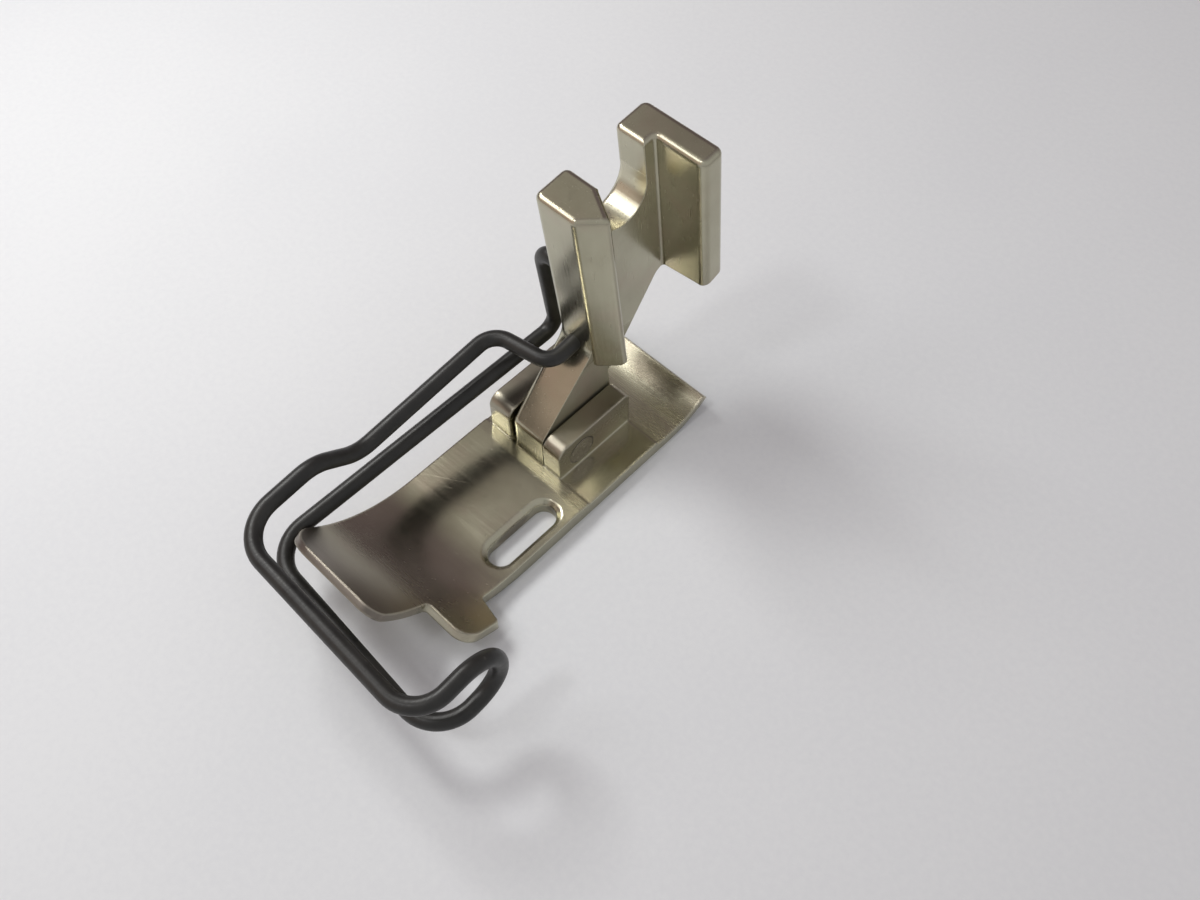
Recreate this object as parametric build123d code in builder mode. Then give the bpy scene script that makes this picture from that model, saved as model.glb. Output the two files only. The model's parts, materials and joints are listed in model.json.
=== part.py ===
"""Hinged presser foot with a wire finger guard.

The part stands on its sole as in use. X runs to the right, Y runs from the toe to the tail and Z
runs up. The origin lies on the underside of the sole, in the middle of its width and straight
below the hinge pin. The shank leans forward on the hinge, against its front stop. All sizes are
in millimetres and degrees.
"""

import os
from math import asin, atan2, cos, radians, sin, tan

from build123d import *

# Sole plate
plate_width = 13.2
plate_thickness = 1.65
recess_depth = 0.2
tail_depth = 0.6
recess_front = -2.9
land_length = 1.2
land_drop = 0.07
recess_rear = 6.0

# Curled toe
curl_start = -12.0
curl_under_start = -10.5
curl_radius = 13.5
curl_angle = 62.3
toe_edge_thickness = 0.7
toe_right = 4.5
toe_left_corner = 3.1
toe_right_corner = 1.6

# Side tab of the toe
tab_right = 9.2
tab_front = -19.5
tab_rear = -15.75
tab_rear_slant = 0.52
tab_corner = 1.7
tab_rear_corner = 0.3
tab_fillet = 0.4

# Raised tail
tail_end = 12.3
tail_flat_end = 8.6
tail_under_start = 7.4
tail_rise = 1.25
tail_edge_thickness = 0.7

# Needle slot
slot_x = 4.4
slot_y = -9.0
slot_width = 2.4
slot_length = 7.4
slot_bevel = 0.45

# Hinge
pin_diameter = 2.2
pin_head_diameter = 3.0
pin_head_depth = 0.4
pin_play = 0.03
pin_wall = 0.65
lean = 6.27
back_swing = 9.73
stop_gap = 0.05
ear_rim = 0.8
ear_front = -2.82
ear_rear = 6.1
ear_round = 1.2
ear_chamfer = 0.4
left_ear_thickness = 2.5
right_ear_thickness = 2.0
ear_play = 0.2

# Tongue of the shank, sizes taken from the pin
tongue_x = -1.25
tongue_width = 3.9
tongue_front = 2.75
tongue_rear = 6.1
tongue_shoulder = 2.5
tongue_slope = 40.0
tongue_slope_top = 7.95
tongue_blend = 2.0
tongue_round = 1.1
tongue_heel_round = 0.3

# Shank channel, sizes taken from the pin
shank_height = 25.5
flange_front = 4.68
flange_bottom = 6.3
flange_width = 4.15
flange_tip_x = 6.28
flange_tip_y = 6.55
flange_corner = 0.9
web_thickness = 3.16
wing_front = 14.51
wing_rear = 16.84
wing_length = 8.0
wing_bottom = 10.6
wing_slant = 8.8
wing_rake = 11.9
gusset_foot = 1.42
gusset_slope = 47.5
gusset_blend = 1.0
corner_round = 0.7
inner_round = 0.3
bevel_round = 0.65
tip_round = 0.35
top_round = 0.5

# Notch for the clamp screw
notch_y = 10.8
notch_z = 21.43
notch_radius = 2.5
notch_round = 0.6

# Finger guard, one bent wire
wire_diameter = 1.45
upper_hole_z = 8.08
upper_hole_depth = 3.0
lower_hole_y = 6.15
lower_hole_z = 15.7
lower_hole_depth = 2.5
guard_left = -7.3
guard_right = 14.1
guard_front = -26.4
guard_skew = 0.5
upper_turn_y = 1.6
upper_turn_skew = 1.0
joggle_y = -14.95
joggle_length = 3.55
upper_bar_z = 11.28
lower_bar_z = 4.95
lower_left = -7.85
lower_rear_x = -5.5
bend_end_y = -19.36
lower_front = -25.4
lower_skew = 1.2
upper_turn_bend = 1.6
upper_side_bend = 2.0
joggle_bend = 3.5
upper_front_bend = 3.6
round_end_bend = 3.0
lower_front_bend = 3.5
lower_left_bend = 3.4
lower_rear_bend = 1.6
lower_hole_bend = 1.5

# Hinge spring
spring_y = 3.6
spring_bore = 2.3
spring_bore_top = 4.6
spring_diameter = 1.65
spring_wire = 0.35
spring_turns = 4.5
spring_gap = 0.05
spring_facets = 8

# Room by which cuts run past the faces that they open, and joined blocks into each other
cut_over = 1.0
join_depth = 0.6

# Sizes that follow from those above
lean_cos = cos(radians(lean))
lean_sin = sin(radians(lean))
recess_top = plate_thickness - recess_depth
tail_top = plate_thickness - tail_depth
pin_height = recess_top + pin_wall + pin_diameter / 2
ear_top = pin_height + pin_head_diameter / 2 + ear_rim
tongue_left = tongue_x - tongue_width / 2
tongue_right = tongue_x + tongue_width / 2
left_ear_inner = tongue_left - ear_play
right_ear_inner = tongue_right + ear_play
left_ear_outer = left_ear_inner - left_ear_thickness
right_ear_outer = right_ear_inner + right_ear_thickness
web_inner = tongue_left + web_thickness
flange_tip = tongue_left + flange_tip_x
wing_end = tongue_left + wing_length
channel_front = notch_y - notch_radius


def lean_point(y, z):
    """Place a point of the upright shank, given from the pin, in the leaning frame."""
    return (lean_cos * y - lean_sin * z, pin_height + lean_sin * y + lean_cos * z)


def side_plane(x):
    """Plane seen from the right of the shank: across is back from the pin, up is up the shank."""
    return Plane(
        origin=(x, 0, pin_height), x_dir=(0, lean_cos, lean_sin), z_dir=(1, 0, 0)
    )


def level_plane(z):
    """Plane square across the shank, at a height up the shank from the pin."""
    y_level, z_level = lean_point(0, z)
    return Plane(
        origin=(0, y_level, z_level), x_dir=(1, 0, 0), z_dir=(0, -lean_sin, lean_cos)
    )


def front_plane(y):
    """Plane seen from the front of the shank: across is to the right, up is up the shank."""
    y_front, z_front = lean_point(y, 0)
    return Plane(
        origin=(0, y_front, z_front), x_dir=(1, 0, 0), z_dir=(0, -lean_cos, -lean_sin)
    )


def shank_point(x, y, z):
    """Point in the part's frame for a point given along the shank."""
    y_part, z_part = lean_point(y, z)
    return (x, y_part, z_part)


def upright_point(y, z):
    """Point along the shank for a point of the side view given in the part's frame."""
    z_pin = z - pin_height
    return (lean_cos * y + lean_sin * z_pin, lean_cos * z_pin - lean_sin * y)


def on_top(edge):
    """Whether an edge lies in the top face of the shank."""
    y, z = upright_point(edge.center().Y, edge.center().Z)
    return abs(z - shank_height) < 0.01


def on_left_front(edge):
    """Whether an edge runs along the front of the shank on its left side."""
    y, z = upright_point(edge.center().Y, edge.center().Z)
    in_front = y < flange_front + 0.01 and z > tongue_heel[1] + relief_rise
    return in_front and abs(edge.center().X - tongue_left) < 0.01


def on_notch_rim(edge):
    """Whether an edge is part of the notch's rim on the left side of the shank."""
    y, z = upright_point(edge.center().Y, edge.center().Z)
    in_notch = abs(y - notch_y) < notch_radius + 0.01 and z > notch_z - notch_radius - 0.01
    return in_notch and abs(edge.center().X - tongue_left) < 0.01


# Sole: side view swept across, cut to the outline seen from above
curl_sin = sin(radians(curl_angle))
curl_cos = cos(radians(curl_angle))
toe_front = curl_start - curl_radius * curl_sin
toe_top = (toe_front, plate_thickness + curl_radius * (1 - curl_cos))
toe_under = (toe_front - toe_edge_thickness * curl_sin, toe_top[1] - toe_edge_thickness * curl_cos)
toe_plane = Plane(origin=(0, *toe_top), x_dir=(1, 0, 0), z_dir=(0, curl_sin, curl_cos))
tab_angle = asin((curl_start - tab_front) / curl_radius)
tab_plane = Plane(
    origin=(0, tab_front, plate_thickness + curl_radius * (1 - cos(tab_angle))),
    x_dir=(1, 0, 0),
    z_dir=(0, sin(tab_angle), cos(tab_angle)),
)
tail_slope = 2 * atan2(tail_rise, tail_end - tail_flat_end)
tail_top_end = (tail_end, tail_top + tail_rise)
tail_under_end = (
    tail_end + tail_edge_thickness * sin(tail_slope),
    tail_top + tail_rise - tail_edge_thickness * cos(tail_slope),
)
outline_front = toe_under[0] - cut_over
outline_rear = tail_under_end[0] + cut_over
pin_outline = (
    (left_ear_outer, pin_height),
    (left_ear_outer, pin_height + pin_head_diameter / 2),
    (left_ear_outer + pin_head_depth, pin_height + pin_diameter / 2),
    (right_ear_outer - pin_head_depth, pin_height + pin_diameter / 2),
    (right_ear_outer, pin_height + pin_head_diameter / 2),
    (right_ear_outer, pin_height),
)

with BuildPart() as sole:
    with BuildSketch(Plane.YZ.offset(-plate_width / 2)):
        with BuildLine():
            Line((curl_under_start, 0), (tail_under_start, 0))
            TangentArc((tail_under_start, 0), tail_under_end, tangent=(1, 0))
            Line(tail_under_end, tail_top_end)
            TangentArc((tail_flat_end, tail_top), tail_top_end, tangent=(1, 0))
            Polyline(
                (tail_flat_end, tail_top),
                (recess_rear, tail_top),
                (recess_rear, recess_top),
                (recess_front, recess_top),
                (recess_front, plate_thickness - land_drop),
                (recess_front - land_length, plate_thickness),
                (curl_start, plate_thickness),
            )
            TangentArc((curl_start, plate_thickness), toe_top, tangent=(-1, 0))
            Line(toe_top, toe_under)
            TangentArc((curl_under_start, 0), toe_under, tangent=(-1, 0))
        make_face()
    extrude(amount=plate_width / 2 + tab_right)

    # Outline from above
    with BuildSketch(Plane.XY):
        with BuildLine():
            FilletPolyline(
                (-plate_width / 2, outline_rear),
                (-plate_width / 2, outline_front),
                (tab_right, outline_front),
                (tab_right, tab_rear - tab_rear_slant),
                (plate_width / 2, tab_rear),
                (plate_width / 2, outline_rear),
                radius=(0, 0, tab_rear_corner, tab_fillet),
            )
            Line((plate_width / 2, outline_rear), (-plate_width / 2, outline_rear))
        make_face()
    extrude(amount=toe_top[1] + cut_over, mode=Mode.INTERSECT)

    # Front edge and round corner of the tab, cut square to the curled sheet
    with BuildSketch(tab_plane) as tab_cut:
        with Locations((toe_right, 0)):
            Rectangle(
                tab_right - toe_right + cut_over,
                2 * (tab_front - outline_front),
                align=(Align.MIN, Align.MAX),
            )
        with Locations((tab_right - tab_corner, tab_corner)):
            Rectangle(
                tab_corner + cut_over, tab_corner + cut_over, align=(Align.MIN, Align.MAX)
            )
        with Locations((tab_right - tab_corner, tab_corner)):
            Circle(tab_corner, mode=Mode.SUBTRACT)
        fillet(tab_cut.vertices().sort_by_distance((toe_right, 0))[0], radius=tab_fillet)
    extrude(amount=toe_top[1], both=True, mode=Mode.SUBTRACT)

    # Round corners of the toe, cut square to its steep front edge
    with BuildSketch(toe_plane):
        with Locations((toe_left_corner - plate_width / 2, toe_left_corner)):
            Rectangle(
                toe_left_corner + cut_over,
                toe_left_corner + cut_over,
                align=(Align.MAX, Align.MAX),
            )
        with Locations((toe_left_corner - plate_width / 2, toe_left_corner)):
            Circle(toe_left_corner, mode=Mode.SUBTRACT)
    extrude(amount=toe_left_corner, both=True, mode=Mode.SUBTRACT)
    with BuildSketch(toe_plane):
        with Locations((toe_right - toe_right_corner, toe_right_corner)):
            Rectangle(
                toe_right_corner + cut_over,
                toe_right_corner + cut_over,
                align=(Align.MIN, Align.MAX),
            )
        with Locations((toe_right - toe_right_corner, toe_right_corner)):
            Circle(toe_right_corner, mode=Mode.SUBTRACT)
    extrude(amount=toe_right_corner, both=True, mode=Mode.SUBTRACT)

    # Hinge ears
    with BuildSketch(Plane.YZ.offset(left_ear_outer)):
        with BuildLine():
            Line((ear_front, plate_thickness / 2), (ear_front, ear_top - ear_round))
            RadiusArc(
                (ear_front, ear_top - ear_round), (ear_front + ear_round, ear_top), ear_round
            )
            Polyline(
                (ear_front + ear_round, ear_top),
                (ear_rear - ear_chamfer, ear_top),
                (ear_rear, ear_top - ear_chamfer),
                (ear_rear, plate_thickness / 2),
                (ear_front, plate_thickness / 2),
            )
        make_face()
    extrude(amount=right_ear_outer - left_ear_outer)
    with BuildSketch(Plane.YZ.offset(left_ear_inner)):
        with Locations((recess_front, recess_top)):
            Rectangle(ear_rear - recess_front + cut_over, ear_top, align=(Align.MIN, Align.MIN))
    extrude(amount=right_ear_inner - left_ear_inner, mode=Mode.SUBTRACT)

    # Pin bore through both ears, countersunk on the outside
    with BuildSketch(Plane.XZ):
        with BuildLine():
            Polyline(*pin_outline, close=True)
        make_face()
    revolve(axis=Axis((0, 0, pin_height), (1, 0, 0)), mode=Mode.SUBTRACT)

    # Needle slot with its bevelled rim
    with BuildSketch(Plane.XY):
        with Locations((slot_x, slot_y)):
            SlotOverall(slot_length, slot_width, rotation=90)
    extrude(amount=plate_thickness, mode=Mode.SUBTRACT)
    with BuildSketch(Plane.XY.offset(plate_thickness - slot_bevel)):
        with Locations((slot_x, slot_y)):
            SlotOverall(slot_length, slot_width, rotation=90)
    extrude(amount=2 * slot_bevel, taper=-45, mode=Mode.SUBTRACT)

# Hinge pin, peened flush in the ears
with BuildPart() as hinge_pin:
    with BuildSketch(Plane.XZ):
        with BuildLine():
            Polyline(*pin_outline, close=True)
        make_face()
    revolve(axis=Axis((0, 0, pin_height), (1, 0, 0)))

# Shank: channel section along the leaning shank, with the tongue below
tongue_toe = upright_point(-tongue_front, recess_top + stop_gap)
tongue_heel = upright_point(0, recess_top + stop_gap)
slope_rise = (flange_front + tongue_shoulder) * tan(radians(tongue_slope))
tongue_top = tongue_slope_top + tongue_blend + join_depth
relief_rise = (tongue_rear - tongue_heel[0]) * tan(radians(back_swing))
gusset_rise = tan(radians(gusset_slope))
wing_rise = tan(radians(wing_rake))
cut_rear = wing_rear + cut_over

with BuildPart() as shank:
    with BuildSketch(level_plane(flange_bottom)) as channel_section:
        with BuildLine():
            Polyline(
                (tongue_left, flange_front),
                (tongue_left + flange_width, flange_front),
                (flange_tip, flange_tip_y),
                (web_inner, channel_front),
                (web_inner, wing_front),
                (wing_end, wing_front),
                (wing_end, wing_rear),
                (tongue_left, wing_rear),
                close=True,
            )
        make_face()
        for corner, radius in (
            ((web_inner, channel_front), inner_round),
            ((web_inner, wing_front), inner_round),
            ((flange_tip, flange_tip_y), tip_round),
            ((tongue_left + flange_width, flange_front), bevel_round),
            ((tongue_left, wing_rear), corner_round),
            ((wing_end, wing_front), corner_round),
            ((wing_end, wing_rear), corner_round),
        ):
            fillet(channel_section.vertices().sort_by_distance(corner)[0], radius=radius)
    extrude(amount=shank_height - flange_bottom)

    # Web carried down to the tongue
    with BuildSketch(level_plane(0)):
        with Locations((tongue_left, flange_front + join_depth)):
            Rectangle(
                web_thickness,
                wing_front - flange_front - join_depth,
                align=(Align.MIN, Align.MIN),
            )
    extrude(amount=flange_bottom + join_depth)

    # Tongue, with a flat stop under its front and relief under its rear
    with BuildSketch(side_plane(tongue_left)):
        with BuildLine():
            FilletPolyline(
                (flange_front + join_depth, tongue_top),
                (flange_front, tongue_top),
                (flange_front, tongue_slope_top),
                (-tongue_shoulder, tongue_slope_top - slope_rise),
                tongue_toe,
                tongue_heel,
                (tongue_rear, tongue_heel[1] + relief_rise),
                (tongue_rear, flange_bottom + join_depth),
                radius=(0, tongue_blend, tongue_round, 0, 0, tongue_heel_round),
            )
            Line(
                (tongue_rear, flange_bottom + join_depth),
                (flange_front + join_depth, tongue_top),
            )
        make_face()
    extrude(amount=tongue_width)

    # Worn front edge on the left, from the top down to the nose of the tongue
    fillet(shank.edges().filter_by(on_left_front), radius=corner_round)

    # Underside of the wing and the slanting rear edge of the web, cut as one ruled loft
    for x in (tongue_left - cut_over, wing_end + cut_over):
        front_z = wing_bottom + (x - wing_end) * tan(radians(wing_slant))
        rear_z = front_z + (cut_rear - wing_front) * wing_rise
        corner_y = tongue_rear + (
            (front_z - gusset_foot - (wing_front - tongue_rear) * wing_rise)
            / (gusset_rise - wing_rise)
        )
        corner_z = gusset_foot + (corner_y - tongue_rear) * gusset_rise
        with BuildSketch(side_plane(x)):
            with BuildLine():
                FilletPolyline(
                    (cut_rear, rear_z),
                    (corner_y, corner_z),
                    (tongue_rear, gusset_foot),
                    radius=(gusset_blend,),
                )
                Polyline(
                    (tongue_rear, gusset_foot),
                    (tongue_rear, -pin_height),
                    (cut_rear, -pin_height),
                    (cut_rear, rear_z),
                )
            make_face()
    loft(ruled=True, mode=Mode.SUBTRACT)

    # Notch for the clamp screw, open at the top
    with BuildSketch(side_plane(tongue_left - cut_over)):
        with Locations((notch_y, notch_z)):
            Circle(notch_radius)
            Rectangle(
                2 * notch_radius,
                shank_height + cut_over - notch_z,
                align=(Align.CENTER, Align.MIN),
            )
    extrude(amount=web_thickness + cut_over + join_depth, mode=Mode.SUBTRACT)

    # Bore for the hinge pin
    with BuildSketch(side_plane(tongue_left)):
        Circle(pin_diameter / 2 + pin_play)
    extrude(amount=tongue_width, mode=Mode.SUBTRACT)

    # Blind bore for the spring
    with BuildSketch(level_plane(-pin_height)):
        with Locations((tongue_x, spring_y)):
            Circle(spring_bore / 2)
    extrude(amount=pin_height + spring_bore_top, mode=Mode.SUBTRACT)

    # Two holes for the ends of the guard
    with BuildSketch(front_plane(flange_front + upper_hole_depth)):
        with Locations((tongue_x, upper_hole_z)):
            Circle(wire_diameter / 2)
    extrude(amount=upper_hole_depth + cut_over, mode=Mode.SUBTRACT)
    with BuildSketch(side_plane(tongue_left)):
        with Locations((lower_hole_y, lower_hole_z)):
            Circle(wire_diameter / 2)
    extrude(amount=lower_hole_depth, mode=Mode.SUBTRACT)

    # Round lower corner of the flange
    with BuildSketch(front_plane(channel_front)):
        with Locations((flange_tip - flange_corner, flange_bottom - cut_over)):
            Rectangle(
                flange_corner + cut_over,
                flange_corner + cut_over,
                align=(Align.MIN, Align.MIN),
            )
        with Locations((flange_tip - flange_corner, flange_bottom + flange_corner)):
            Circle(flange_corner, mode=Mode.SUBTRACT)
    extrude(amount=channel_front - flange_front + cut_over, mode=Mode.SUBTRACT)

    # Worn rim of the notch and worn top edges
    fillet(shank.edges().filter_by(on_notch_rim), radius=notch_round)
    fillet(shank.edges().filter_by(on_top), radius=top_round)

# Finger guard: one wire swept along straight runs and round bends
with BuildPart() as finger_guard:
    with BuildLine() as guard_path:
        FilletPolyline(
            shank_point(tongue_x, flange_front + upper_hole_depth, upper_hole_z),
            shank_point(tongue_x, upper_turn_y, upper_hole_z),
            shank_point(guard_left, upper_turn_y - upper_turn_skew, upper_hole_z),
            shank_point(guard_left, joggle_y, upper_hole_z),
            shank_point(guard_left, joggle_y - joggle_length, upper_bar_z),
            shank_point(guard_left, guard_front, upper_bar_z),
            shank_point(guard_right, guard_front - guard_skew, upper_bar_z),
            shank_point(guard_right, bend_end_y, upper_bar_z),
            shank_point(guard_right, bend_end_y, lower_bar_z),
            shank_point(guard_right, lower_front - lower_skew, lower_bar_z),
            shank_point(lower_left, lower_front, lower_bar_z),
            shank_point(lower_rear_x, lower_hole_y, lower_bar_z),
            shank_point(lower_rear_x, lower_hole_y, lower_hole_z),
            shank_point(tongue_left + lower_hole_depth, lower_hole_y, lower_hole_z),
            radius=(
                upper_turn_bend,
                upper_side_bend,
                joggle_bend,
                joggle_bend,
                upper_front_bend,
                round_end_bend,
                round_end_bend,
                round_end_bend,
                lower_front_bend,
                lower_left_bend,
                lower_rear_bend,
                lower_hole_bend,
            ),
        )
    with BuildSketch(Plane(origin=guard_path.line @ 0, z_dir=guard_path.line % 0)):
        Circle(wire_diameter / 2)
    sweep(path=guard_path.line)

# Hinge spring, standing on the recess and reaching up into the bore
spring_outside = (spring_diameter + spring_wire) / 2
floor_under_spring = (recess_top - pin_height - lean_sin * (spring_y - spring_outside)) / lean_cos
spring_foot = floor_under_spring + spring_wire / 2 + spring_gap
spring_head = spring_bore_top - spring_wire / 2 - spring_gap

with BuildPart() as hinge_spring:
    with BuildLine() as coil:
        Helix(
            pitch=(spring_head - spring_foot) / spring_turns,
            height=spring_head - spring_foot,
            radius=spring_diameter / 2,
            center=shank_point(tongue_x, spring_y, spring_foot),
            direction=(0, -lean_sin, lean_cos),
        )
    with BuildSketch(Plane(origin=coil.line @ 0, z_dir=coil.line % 0)):
        RegularPolygon(radius=spring_wire / 2, side_count=spring_facets)
    sweep(path=coil.line, is_frenet=True)

sole.part.label = "sole"
hinge_pin.part.label = "hinge_pin"
shank.part.label = "shank"
finger_guard.part.label = "finger_guard"
hinge_spring.part.label = "hinge_spring"

os.makedirs("parts", exist_ok=True)
export_step(sole.part, "parts/sole.step")
export_step(hinge_pin.part, "parts/hinge_pin.step")
export_step(shank.part, "parts/shank.step")
export_step(finger_guard.part, "parts/finger_guard.step")
export_step(hinge_spring.part, "parts/hinge_spring.step")
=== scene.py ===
"""Looks of the hinged presser foot.

The solids of the part keep their shape and get node materials: satin nickel plate on the sole
and the shank, plain steel on the pin and black oxide on the wire guard. A copy of the spring
stands in for the solid one and moves with the shank. White paper lies under the
part, three soft lamps stand above it to the left and the front, and the camera stands where
the photograph was taken from. Lengths are in metres, angles in degrees, powers in watts.
"""

import json
from math import cos, radians, sin

import bmesh
import bpy
from mathutils import Matrix, Vector


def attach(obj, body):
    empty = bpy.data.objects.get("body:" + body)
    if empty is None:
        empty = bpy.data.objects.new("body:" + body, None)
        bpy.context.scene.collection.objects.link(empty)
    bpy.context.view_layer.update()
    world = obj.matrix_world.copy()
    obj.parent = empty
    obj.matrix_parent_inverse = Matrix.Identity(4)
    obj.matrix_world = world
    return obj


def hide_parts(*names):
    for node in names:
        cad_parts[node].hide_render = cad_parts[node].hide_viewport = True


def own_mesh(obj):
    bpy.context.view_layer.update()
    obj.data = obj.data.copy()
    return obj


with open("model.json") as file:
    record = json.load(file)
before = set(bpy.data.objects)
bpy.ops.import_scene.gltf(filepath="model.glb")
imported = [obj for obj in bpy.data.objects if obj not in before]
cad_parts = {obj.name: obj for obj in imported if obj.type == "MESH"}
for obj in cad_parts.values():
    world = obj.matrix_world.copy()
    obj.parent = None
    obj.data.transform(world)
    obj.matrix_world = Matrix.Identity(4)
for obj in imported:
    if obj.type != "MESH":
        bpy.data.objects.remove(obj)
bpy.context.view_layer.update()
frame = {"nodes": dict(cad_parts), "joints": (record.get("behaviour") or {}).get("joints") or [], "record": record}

# Places that the frame gives: the axis of the hinge pin and the notch for the clamp screw
MM = 0.001
mounts = {mount["name"]: mount for mount in frame["record"]["mounts"]}
PIN_HEIGHT = frame["joints"][0]["pos_m"][2]
NOTCH_CENTRE = mounts["clamp_notch"]["pos_m"]
NOTCH_RADIUS = mounts["clamp_notch"]["dims"]["r_mm"] * MM

# Camera, as fitted to the edges of the part in the photograph
VIEW_TARGET = Vector((0.00491, 0.00026, 0.005))
VIEW_AZIMUTH = 44.8
VIEW_ELEVATION = 57.74
VIEW_DISTANCE = 0.1002
VIEW_ROLL = -1.09
LENS_MM = 34.55
SENSOR_MM = 36.0
CLIP_NEAR = 0.001
CLIP_FAR = 20.0

# Lamps: name, direction from the part, distance, diameter, power and colour
LAMPS = (
    ("window", (-0.62, -0.07, 0.78), 0.17, 0.060, 0.118, (1.0, 1.0, 0.98)),
    ("lamp_left", (-0.50, -0.42, 0.76), 0.25, 0.10, 0.072, (1.0, 1.0, 1.0)),
    ("lamp_front", (-0.12, -0.46, 0.88), 0.35, 0.05, 0.110, (1.0, 1.0, 1.0)),
)

# Room that the metal mirrors: directions of its parts, and the cosines over which each fades in
PALE_SIDE = (0.87, -0.44, -0.22)
PALE_SPAN = (-0.7, 0.3)
GLOW_SIDE = (-0.60, 0.15, 0.786)
GLOW_SPAN = (0.91, 0.99)
GLOW_SHARE = 0.6
WARM_SIDE = (-0.43, -0.84, 0.33)
WARM_SPAN = (0.75, 0.97)
WARM_SHARE = 0.6
ROOM_STRENGTH = 0.97

# Lean of the shank at rest
SHANK_LEAN = 6.27

# Nickel on the sole and the shank: which way it is brushed, how dull it is, how round its edges
SOLE_FINISH = {
    "brushed_size": (0.006, 0.00016, 0.00016),
    "brushed_turn": (0, 0, 3),
    "dullness": 0.15,
    "edge_radius": 0.00032,
}
SHANK_FINISH = {
    "brushed_size": (0.00016, 0.00016, 0.005),
    "brushed_turn": (SHANK_LEAN, 0, 0),
    "dullness": 0.19,
    "edge_radius": 0.00014,
}

# Noise of all finishes: its roughness, and the spans of it over which most marks fade in
GRAIN_ROUGHNESS = 0.6
MIDDLE_SPAN = (0.35, 0.65)
WIDE_SPAN = (0.3, 0.7)

# Numbers of a mix node's colour sockets, which share their names with its other sockets
MIX_FIRST = 6
MIX_SECOND = 7
MIX_RESULT = 2

# Marks on all the nickel: sizes, spans of the noise that show, shares of colour, heights, dullness
CLOUD_SIZE = 0.006
CLOUD_DULL = 0.03
COPPER_SIZE = 0.0045
COPPER_TURN = (40, 20, 10)
COPPER_SPAN = (0.50, 0.72)
COPPER_SHARE = 0.45
STAIN_SIZE = 0.0016
STAIN_SPAN = (0.62, 0.80)
STAIN_SHARE = 0.25
SPECK_SIZE = 0.00022
SPECK_SPAN = (0.87, 0.90)
SPECK_SHARE = 0.3
SPECK_HEIGHT = -0.4
HAIR_TURN = (0, 0, 31)
HAIR_SPAN = (0.74, 0.80)
HAIR_HEIGHT = -0.2
HAIR_DULL = 0.05
BRUSHED_HEIGHT = 0.12
BRUSHED_DULL = 0.06
FINE_SIZE = 0.00012
FINE_HEIGHT = 0.05
NICKEL_RELIEF = 0.000002

# Soft edges of the nickel, painted paler there as a highlight: cosines of the turn of the normal over which an
# edge shows
EDGE_SPAN = (0.995, 0.86)
EDGE_HIGHLIGHT_SHARE = 0.45
EDGE_SAMPLES = 6

# Ground band of the sole, in front of the hinge
LAND_FRONT = -0.0041
LAND_REAR = -0.0029
LAND_BLEND = 0.0001
LAND_TOP = 0.0017
LAND_TOP_BLEND = 0.0002
GROOVE_SIZE = (0.12, 0.00022, 0.01)
GROOVE_HEIGHT = 1.6
BAND_DULL = 0.06

# Tail of the sole, speckled, with a painted dark reflection as a spot that has a ragged rim
TAIL_START = 0.006
TAIL_BLEND = 0.0004
TAIL_DULL = 0.07
SPECKLE_SIZE = 0.00010
SPECKLE_HEIGHT = 3.0
SPOT_CENTRE = (0.0013, 0.0112, 0.0013)
SPOT_REACH = (0.0030, 0.0011, 0.01)
SPOT_SPAN = (2.0, 1.2)
SPOT_SHADE_SHARE = 0.85
RAGGED_SIZE = 0.0012
RAGGED_TURN = (20, 30, 10)
RAGGED_SHARE = 1.2

# Darker wall of the needle slot
SLOT_CENTRE = (0.0044, -0.009, 0.0008)
SLOT_REACH = (0.00135, 0.0039, 0.0015)
SLOT_SPAN = (1.04, 0.98)
SLOT_SHARE = 0.7

# Toe of the sole, darker higher up as painted shade for its dark reflection, dull and rubbed in swirls
TOE_LOW = 0.0022
TOE_HIGH = 0.0075
TOE_SHADE_SHARE = 0.8
TOE_DULL = 0.20
SWIRL_SIZE = (0.008, 0.00009, 0.00009)
SWIRL_TURN = (0, 0, 14)
SWIRL_HEIGHT = 0.4
TOE_RUB_SIZE = 0.003
TOE_RUB_TURN = (0, 50, 0)
TOE_RUB_SPAN = (0.40, 0.65)

# Dull sides of the tongue, and milled notch of the shank with a painted highlight; the notch is measured across
# its axis
TONGUE_TOP = 0.0105
TONGUE_BLEND = 0.0005
TONGUE_SPAN = (0.90, 0.97)
TONGUE_DULL = 0.25
NOTCH_REACH = (1.0, NOTCH_RADIUS, NOTCH_RADIUS)
NOTCH_SPAN = (1.04, 1.02)
NOTCH_HIGHLIGHT_SHARE = 0.7
NOTCH_DULL = 0.05
MILLED_SIZE = (0.05, 0.00028, 0.00028)
MILLED_HEIGHT = 9.0

# Pin: its head, the rings on it and the worn seam round it
PIN_HEAD_RADIUS = 0.0015
PIN_CLOUD_SIZE = 0.0007
PIN_DULL = (0.18, 0.28)
PIN_RELIEF = 0.000006
RING_RADIANS_PER_METRE = 38000.0
RING_HEIGHT = 0.2
SEAM_WIDTH = 0.00018
SEAM_START = PIN_HEAD_RADIUS - SEAM_WIDTH
SEAM_BLEND = 0.00006
SEAM_DEPTH = 3.0
SEAM_WEAR_SIZE = 0.0012
SEAM_WEAR_SPAN = (0.40, 0.62)
SEAM_LEAST = 0.25

# Spring wire
STREAK_SIZE = (0.0004, 0.0004, 0.00008)
SPRING_DULL = (0.28, 0.42)
SPRING_RELIEF = 0.000004

# Black oxide of the guard
OXIDE_CLOUD_SIZE = 0.003
OXIDE_CLOUD_SPAN = (0.35, 0.68)
OXIDE_RUB_SIZE = 0.0009
OXIDE_RUB_SPAN = (0.66, 0.80)
OXIDE_RUB_SHARE = 0.35
OXIDE_RUB_GLOSS = 0.06
OXIDE_DRAWN_SIZE = (0.00018, 0.0030, 0.00018)
OXIDE_DULL = (0.34, 0.46)
OXIDE_SPECULAR = 0.45
OXIDE_RELIEF = 0.000006
PORE_SIZE = 0.00014
PORE_HEIGHT = 0.6

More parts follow.
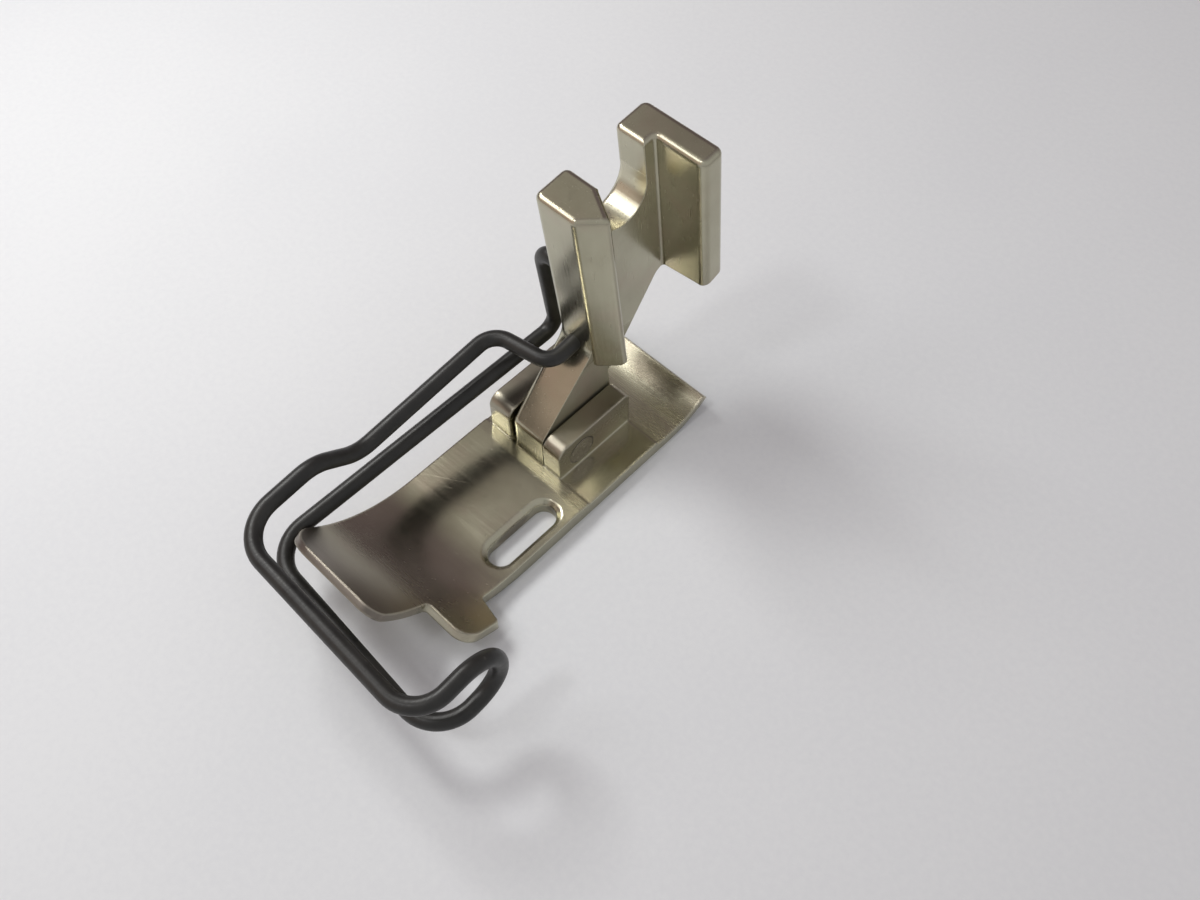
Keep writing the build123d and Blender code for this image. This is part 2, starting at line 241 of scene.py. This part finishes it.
# Paper under the part
PAPER_RADIUS = 1.5
PAPER_SIDES = 96
PAPER_FIBRE_SIZE = 0.0006
PAPER_CLOUD_SIZE = 0.04
PAPER_SPAN = (0.4, 0.6)
PAPER_DULL = (0.85, 0.95)
PAPER_SPECULAR = 0.2
PAPER_RELIEF = 0.00001

# Colours, linear
NICKEL_WARM = (0.43, 0.408, 0.305, 1.0)
NICKEL_PALE = (0.50, 0.478, 0.365, 1.0)
NICKEL_COPPER = (0.47, 0.38, 0.31, 1.0)
# The stain colour also paints the dark spot on the tail, a painted dark reflection.
NICKEL_STAIN_AND_SHADE = (0.19, 0.165, 0.125, 1.0)
# The toe colour is painted shade.
NICKEL_TOE_SHADE = (0.21, 0.18, 0.165, 1.0)
# The edge colour is a painted highlight on the edges and in the notch.
NICKEL_PAINTED_HIGHLIGHT = (0.64, 0.61, 0.475, 1.0)
PIN_GREY = (0.36, 0.33, 0.29, 1.0)
PIN_PALE = (0.47, 0.44, 0.38, 1.0)
PIN_SEAM = (0.04, 0.035, 0.03, 1.0)
SPRING_DARK = (0.30, 0.30, 0.31, 1.0)
SPRING_PALE = (0.48, 0.48, 0.49, 1.0)
OXIDE_BLACK = (0.010, 0.010, 0.009, 1.0)
OXIDE_BROWN = (0.024, 0.023, 0.020, 1.0)
OXIDE_RUBBED = (0.10, 0.095, 0.085, 1.0)
PAPER_WHITE = (0.795, 0.81, 0.82, 1.0)
PAPER_SHADE = (0.765, 0.78, 0.795, 1.0)
ROOM_DARK = (0.20, 0.158, 0.178, 1.0)
ROOM_PALE = (0.57, 0.57, 0.58, 1.0)
ROOM_GLOW = (0.62, 0.61, 0.54, 1.0)
ROOM_WARM = (0.80, 0.60, 0.50, 1.0)


def add_node(tree, kind, settings=None, inputs=None):
    """Add a node, set its options, and set or link its inputs by name or number."""
    node = tree.nodes.new(kind)
    for name, value in (settings or {}).items():
        setattr(node, name, value)
    for name, value in (inputs or {}).items():
        if isinstance(value, bpy.types.NodeSocket):
            tree.links.new(value, node.inputs[name])
        else:
            node.inputs[name].default_value = value
    return node


def even(size):
    """The same size along all three axes."""
    return (size, size, size)


def placed(tree, settings):
    """Coordinates of the surface in the part's frame, moved, turned and scaled by a mapping."""
    coords = add_node(tree, "ShaderNodeTexCoord")
    inputs = {"Vector": coords.outputs["Object"], **settings}
    node = add_node(tree, "ShaderNodeMapping", {"vector_type": "TEXTURE"}, inputs)
    return node.outputs["Vector"]


def grain(tree, size, turn=(0, 0, 0), detail=2.0):
    """Noise from 0 to 1 whose marks have a size in metres along three turned axes."""
    turned = {"Rotation": [radians(angle) for angle in turn], "Scale": size}
    noise = add_node(
        tree,
        "ShaderNodeTexNoise",
        None,
        {
            "Vector": placed(tree, turned),
            "Scale": 1.0,
            "Detail": detail,
            "Roughness": GRAIN_ROUGHNESS,
        },
    )
    return noise.outputs["Fac"]


def reach(tree, place, spans):
    """Distance from a place, counted in spans along the three axes."""
    offset = placed(tree, {"Location": place, "Scale": spans})
    node = add_node(tree, "ShaderNodeVectorMath", {"operation": "LENGTH"}, {0: offset})
    return node.outputs["Value"]


def position(tree, axis):
    """One coordinate of the surface in the part's frame."""
    coords = add_node(tree, "ShaderNodeTexCoord")
    parts = add_node(tree, "ShaderNodeSeparateXYZ", None, {0: coords.outputs["Object"]})
    return parts.outputs[axis]


def flat_normal(tree):
    """Normal of the bare surface."""
    return add_node(tree, "ShaderNodeNewGeometry").outputs["Normal"]


def dot_product(tree, first, second):
    """Cosine between two directions."""
    node = add_node(
        tree, "ShaderNodeVectorMath", {"operation": "DOT_PRODUCT"}, {0: first, 1: second}
    )
    return node.outputs["Value"]


def remap(tree, value, low, high, to_low=0.0, to_high=1.0):
    """Stretch the span from low to high to another span, and hold it at the ends."""
    node = add_node(
        tree,
        "ShaderNodeMapRange",
        None,
        {"Value": value, "From Min": low, "From Max": high, "To Min": to_low, "To Max": to_high},
    )
    return node.outputs["Result"]


def combine(tree, operation, first, second=0.0):
    """One step of arithmetic on one or two values."""
    node = add_node(tree, "ShaderNodeMath", {"operation": operation}, {0: first, 1: second})
    return node.outputs["Value"]


def times(tree, first, second):
    """Product of two values."""
    return combine(tree, "MULTIPLY", first, second)


def add_share(tree, value, mask, share):
    """Value raised by a share of a mask."""
    return combine(tree, "ADD", value, times(tree, mask, share))


def mix_colours(tree, factor, first, second):
    """Colour that goes from the first to the second as the factor goes from 0 to 1."""
    inputs = {"Factor": factor, MIX_FIRST: first, MIX_SECOND: second}
    node = add_node(tree, "ShaderNodeMix", {"data_type": "RGBA"}, inputs)
    return node.outputs[MIX_RESULT]


def tint(tree, colour, mask, share, other):
    """Colour moved towards another one by a share of a mask."""
    return mix_colours(tree, times(tree, mask, share), colour, other)


def soft_edges(tree, radius):
    """Normal rounded over near the edges, and how much of an edge each place is."""
    bevel = add_node(tree, "ShaderNodeBevel", {"samples": EDGE_SAMPLES}, {"Radius": radius})
    normal = bevel.outputs["Normal"]
    return normal, remap(tree, dot_product(tree, normal, flat_normal(tree)), *EDGE_SPAN)


def new_material(name, metallic):
    """Empty node material with its shader."""
    material = bpy.data.materials.new(name)
    material.use_nodes = True
    shader = material.node_tree.nodes["Principled BSDF"]
    shader.inputs["Metallic"].default_value = metallic
    return material, material.node_tree, shader


def finish_shader(tree, shader, colour, roughness, height, depth, normal):
    """Link colour, roughness and bump to the shader."""
    bump = add_node(
        tree,
        "ShaderNodeBump",
        None,
        {"Strength": 1.0, "Distance": depth, "Height": height, "Normal": normal},
    )
    tree.links.new(colour, shader.inputs["Base Color"])
    tree.links.new(roughness, shader.inputs["Roughness"])
    tree.links.new(bump.outputs["Normal"], shader.inputs["Normal"])


def ground_band(tree):
    """How much of the coarse ground band in front of the hinge each place is."""
    along = position(tree, "Y")
    front = remap(tree, along, LAND_FRONT - LAND_BLEND, LAND_FRONT + LAND_BLEND)
    rear = remap(tree, along, LAND_REAR + LAND_BLEND, LAND_REAR - LAND_BLEND)
    low = remap(tree, position(tree, "Z"), LAND_TOP + LAND_TOP_BLEND, LAND_TOP)
    return times(tree, times(tree, front, rear), low)


def sole_wear_and_shade(tree, colour, roughness, height):
    """Ground band before the hinge, speckled tail with a painted dark reflection as a spot, darker slot wall, and
    dull toe darkened by painted shade.
    """
    band = ground_band(tree)
    grooves = grain(tree, GROOVE_SIZE)
    roughness = add_share(tree, roughness, band, BAND_DULL)
    height = add_share(tree, height, times(tree, band, grooves), GROOVE_HEIGHT)

    tail = remap(tree, position(tree, "Y"), TAIL_START, TAIL_START + TAIL_BLEND)
    speckle = grain(tree, even(SPECKLE_SIZE), detail=1.0)
    ragged = grain(tree, even(RAGGED_SIZE), RAGGED_TURN, detail=4.0)
    # The dark spot on the tail is a painted dark reflection, in the stain colour.
    spot = add_share(tree, reach(tree, SPOT_CENTRE, SPOT_REACH), ragged, RAGGED_SHARE)
    dark = times(tree, tail, remap(tree, spot, *SPOT_SPAN, 0.0, SPOT_SHADE_SHARE))
    colour = mix_colours(tree, dark, colour, NICKEL_STAIN_AND_SHADE)
    roughness = add_share(tree, roughness, tail, TAIL_DULL)
    height = add_share(tree, height, times(tree, tail, speckle), SPECKLE_HEIGHT)

    wall = remap(tree, reach(tree, SLOT_CENTRE, SLOT_REACH), *SLOT_SPAN, 0.0, SLOT_SHARE)
    colour = mix_colours(tree, wall, colour, NICKEL_STAIN_AND_SHADE)

    # The toe is painted darker towards its top: painted shade for its dark reflection.
    toe = remap(tree, position(tree, "Z"), TOE_LOW, TOE_HIGH)
    swirls = grain(tree, SWIRL_SIZE, SWIRL_TURN)
    rubbed = remap(tree, grain(tree, even(TOE_RUB_SIZE), TOE_RUB_TURN), *TOE_RUB_SPAN)
    colour = tint(tree, colour, toe, TOE_SHADE_SHARE, NICKEL_TOE_SHADE)
    roughness = add_share(tree, roughness, toe, TOE_DULL)
    rubbed_toe = times(tree, toe, rubbed)
    height = add_share(tree, height, times(tree, rubbed_toe, swirls), SWIRL_HEIGHT)
    return colour, roughness, height


def shank_wear_and_highlight(tree, colour, roughness, height):
    """Dull sides on the tongue, and milling lines and a painted highlight in the notch of the shank."""
    turned = add_node(tree, "ShaderNodeSeparateXYZ", None, {0: flat_normal(tree)})
    sides = remap(tree, combine(tree, "ABSOLUTE", turned.outputs["X"]), *TONGUE_SPAN)
    low = remap(tree, position(tree, "Z"), TONGUE_TOP, TONGUE_TOP - TONGUE_BLEND)
    roughness = add_share(tree, roughness, times(tree, sides, low), TONGUE_DULL)

    notch = remap(tree, reach(tree, NOTCH_CENTRE, NOTCH_REACH), *NOTCH_SPAN)
    milled = grain(tree, MILLED_SIZE, detail=3.0)
    # The notch is painted paler: a painted highlight.
    colour = tint(tree, colour, notch, NOTCH_HIGHLIGHT_SHARE, NICKEL_PAINTED_HIGHLIGHT)
    roughness = add_share(tree, roughness, notch, NOTCH_DULL)
    height = add_share(tree, height, times(tree, notch, milled), MILLED_HEIGHT)
    return colour, roughness, height


def nickel(name, wear, brushed_size, brushed_turn, dullness, edge_radius):
    """Bright nickel plate over ground steel, brushed one way, with soft edges painted paler as a highlight, local
    wear, and the painted shade and highlight that the wear step adds.
    """
    material, tree, shader = new_material(name, 1.0)
    normal, edge = soft_edges(tree, edge_radius)
    cloud = remap(tree, grain(tree, even(CLOUD_SIZE), detail=3.0), *MIDDLE_SPAN)
    copper = remap(tree, grain(tree, even(COPPER_SIZE), COPPER_TURN, detail=3.0), *COPPER_SPAN)
    stain = remap(tree, grain(tree, even(STAIN_SIZE), detail=5.0), *STAIN_SPAN)
    brushed = grain(tree, brushed_size, brushed_turn, detail=3.0)
    fine = grain(tree, even(FINE_SIZE), detail=1.0)
    hairs = remap(tree, grain(tree, brushed_size, HAIR_TURN, detail=0.0), *HAIR_SPAN)
    specks = remap(tree, grain(tree, even(SPECK_SIZE), detail=0.0), *SPECK_SPAN)

    colour = mix_colours(tree, cloud, NICKEL_WARM, NICKEL_PALE)
    colour = tint(tree, colour, copper, COPPER_SHARE, NICKEL_COPPER)
    colour = tint(tree, colour, stain, STAIN_SHARE, NICKEL_STAIN_AND_SHADE)
    colour = tint(tree, colour, specks, SPECK_SHARE, NICKEL_STAIN_AND_SHADE)

    roughness = remap(tree, brushed, *WIDE_SPAN, dullness, dullness + BRUSHED_DULL)
    roughness = add_share(tree, roughness, cloud, CLOUD_DULL)
    roughness = add_share(tree, roughness, hairs, HAIR_DULL)

    height = times(tree, brushed, BRUSHED_HEIGHT)
    height = add_share(tree, height, fine, FINE_HEIGHT)
    height = add_share(tree, height, hairs, HAIR_HEIGHT)
    height = add_share(tree, height, specks, SPECK_HEIGHT)

    colour, roughness, height = wear(tree, colour, roughness, height)
    # Edges are painted paler: a painted highlight.
    colour = tint(tree, colour, edge, EDGE_HIGHLIGHT_SHARE, NICKEL_PAINTED_HIGHLIGHT)
    finish_shader(tree, shader, colour, roughness, height, NICKEL_RELIEF, normal)
    return material


def turned_steel(name):
    """Plain steel of the pin, with rings from the peening tool and a dark seam round its head."""
    material, tree, shader = new_material(name, 1.0)
    across = position(tree, "Y")
    up = combine(tree, "SUBTRACT", position(tree, "Z"), PIN_HEIGHT)
    squares = combine(tree, "ADD", times(tree, across, across), times(tree, up, up))
    radius = combine(tree, "SQRT", squares)
    rings = combine(tree, "SINE", times(tree, radius, RING_RADIANS_PER_METRE))
    cloud = remap(tree, grain(tree, even(PIN_CLOUD_SIZE), detail=3.0), *MIDDLE_SPAN)
    seam = remap(tree, radius, SEAM_START, SEAM_START + SEAM_BLEND)
    worn = remap(tree, grain(tree, even(SEAM_WEAR_SIZE)), *SEAM_WEAR_SPAN, SEAM_LEAST, 1.0)
    colour = mix_colours(tree, cloud, PIN_GREY, PIN_PALE)
    colour = tint(tree, colour, seam, worn, PIN_SEAM)
    roughness = remap(tree, cloud, 0.0, 1.0, *PIN_DULL)
    height = add_share(tree, cloud, rings, RING_HEIGHT)
    height = add_share(tree, height, seam, -SEAM_DEPTH)
    finish_shader(tree, shader, colour, roughness, height, PIN_RELIEF, flat_normal(tree))
    return material


def drawn_steel(name):
    """Drawn spring wire with faint streaks."""
    material, tree, shader = new_material(name, 1.0)
    streaks = grain(tree, STREAK_SIZE, detail=3.0)
    colour = mix_colours(tree, remap(tree, streaks, *MIDDLE_SPAN), SPRING_DARK, SPRING_PALE)
    roughness = remap(tree, streaks, *WIDE_SPAN, *SPRING_DULL)
    finish_shader(tree, shader, colour, roughness, streaks, SPRING_RELIEF, flat_normal(tree))
    return material


def black_oxide(name):
    """Black oxide on bent wire, semi-gloss, rubbed in small patches."""
    material, tree, shader = new_material(name, 0.0)
    cloud = remap(tree, grain(tree, even(OXIDE_CLOUD_SIZE), detail=4.0), *OXIDE_CLOUD_SPAN)
    rubbed = remap(tree, grain(tree, even(OXIDE_RUB_SIZE), detail=5.0), *OXIDE_RUB_SPAN)
    drawn = grain(tree, OXIDE_DRAWN_SIZE)
    pores = grain(tree, even(PORE_SIZE), detail=1.0)
    colour = mix_colours(tree, cloud, OXIDE_BLACK, OXIDE_BROWN)
    colour = tint(tree, colour, rubbed, OXIDE_RUB_SHARE, OXIDE_RUBBED)
    roughness = remap(tree, drawn, *WIDE_SPAN, *OXIDE_DULL)
    roughness = add_share(tree, roughness, rubbed, -OXIDE_RUB_GLOSS)
    height = add_share(tree, drawn, pores, PORE_HEIGHT)
    shader.inputs["Specular IOR Level"].default_value = OXIDE_SPECULAR
    finish_shader(tree, shader, colour, roughness, height, OXIDE_RELIEF, flat_normal(tree))
    return material


def white_paper(name):
    """White office paper with a faint fibre."""
    material, tree, shader = new_material(name, 0.0)
    fibre = grain(tree, even(PAPER_FIBRE_SIZE), detail=4.0)
    cloud = grain(tree, even(PAPER_CLOUD_SIZE))
    tone = times(tree, combine(tree, "ADD", fibre, cloud), 0.5)
    colour = mix_colours(tree, remap(tree, tone, *PAPER_SPAN), PAPER_WHITE, PAPER_SHADE)
    roughness = remap(tree, fibre, *WIDE_SPAN, *PAPER_DULL)
    shader.inputs["Specular IOR Level"].default_value = PAPER_SPECULAR
    finish_shader(tree, shader, colour, roughness, fibre, PAPER_RELIEF, flat_normal(tree))
    return material


def add_object(name, data):
    """Put a mesh, a lamp or a camera into the scene."""
    item = bpy.data.objects.new(name, data)
    bpy.context.scene.collection.objects.link(item)
    return item


def dress(node_name, material):
    """Give a CAD node its finished material."""
    for slot in frame["nodes"][node_name].material_slots:
        slot.material = material


def add_spring():
    """Spring in the place of the solid one, which moves with the shank."""
    node = frame["nodes"]["hinge_spring"]
    spring = add_object("spring_coil", node.data.copy())
    spring.data.materials.clear()
    spring.data.materials.append(drawn_steel("spring_steel"))
    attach(spring, "shank")
    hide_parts("hinge_spring")
    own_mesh(spring)


def add_floor():
    """Round sheet of paper that the part stands on."""
    mesh = bpy.data.meshes.new("paper")
    shape = bmesh.new()
    bmesh.ops.create_circle(shape, cap_ends=True, segments=PAPER_SIDES, radius=PAPER_RADIUS)
    shape.to_mesh(mesh)
    shape.free()
    floor = add_object("paper", mesh)
    mesh.materials.append(white_paper("white_paper"))


def add_lamp(name, direction, distance, size, power, colour):
    """Round soft lamp that faces the part from a direction."""
    lamp = bpy.data.lights.new(name, "AREA")
    lamp.shape = "DISK"
    lamp.size = size
    lamp.energy = power
    lamp.color = colour
    holder = add_object(name, lamp)
    towards = Vector(direction).normalized()
    holder.location = towards * distance
    holder.rotation_euler = towards.to_track_quat("Z", "Y").to_euler()


def room_part(tree, direction, span):
    """How much each place of the room belongs to the part of it in one direction."""
    coords = add_node(tree, "ShaderNodeTexCoord")
    return remap(tree, dot_product(tree, coords.outputs["Generated"], direction), *span)


def add_world():
    """Room that the metal mirrors: pale right, dim left, a glow above and a warm one in front."""
    world = bpy.data.worlds.new("room")
    bpy.context.scene.world = world
    world.use_nodes = True
    tree = world.node_tree
    background = tree.nodes["Background"]
    colour = mix_colours(tree, room_part(tree, PALE_SIDE, PALE_SPAN), ROOM_DARK, ROOM_PALE)
    colour = tint(tree, colour, room_part(tree, GLOW_SIDE, GLOW_SPAN), GLOW_SHARE, ROOM_GLOW)
    colour = tint(tree, colour, room_part(tree, WARM_SIDE, WARM_SPAN), WARM_SHARE, ROOM_WARM)
    tree.links.new(colour, background.inputs["Color"])
    background.inputs["Strength"].default_value = ROOM_STRENGTH


def add_camera():
    """Camera at the photograph's place, looking at the part from the front right."""
    lens = bpy.data.cameras.new("photo_view")
    lens.lens = LENS_MM
    lens.sensor_width = SENSOR_MM
    lens.sensor_fit = "HORIZONTAL"
    lens.clip_start = CLIP_NEAR
    lens.clip_end = CLIP_FAR
    camera = add_object("photo_view", lens)
    azimuth = radians(VIEW_AZIMUTH)
    elevation = radians(VIEW_ELEVATION)
    level = cos(elevation)
    back = Vector((level * sin(azimuth), -level * cos(azimuth), sin(elevation)))
    turn = back.to_track_quat("Z", "Y").to_matrix().to_4x4()
    roll = Matrix.Rotation(radians(VIEW_ROLL), 4, "Z")
    place = Matrix.Translation(VIEW_TARGET + back * VIEW_DISTANCE)
    camera.matrix_world = place @ turn @ roll
    bpy.context.scene.camera = camera


dress("sole", nickel("nickel_sole", sole_wear_and_shade, **SOLE_FINISH))
dress("shank", nickel("nickel_shank", shank_wear_and_highlight, **SHANK_FINISH))
dress("hinge_pin", turned_steel("pin_steel"))
dress("finger_guard", black_oxide("black_oxide"))

add_spring()
add_floor()
add_world()
for lamp_values in LAMPS:
    add_lamp(*lamp_values)
add_camera()
bpy.context.scene.view_settings.view_transform = "Standard"
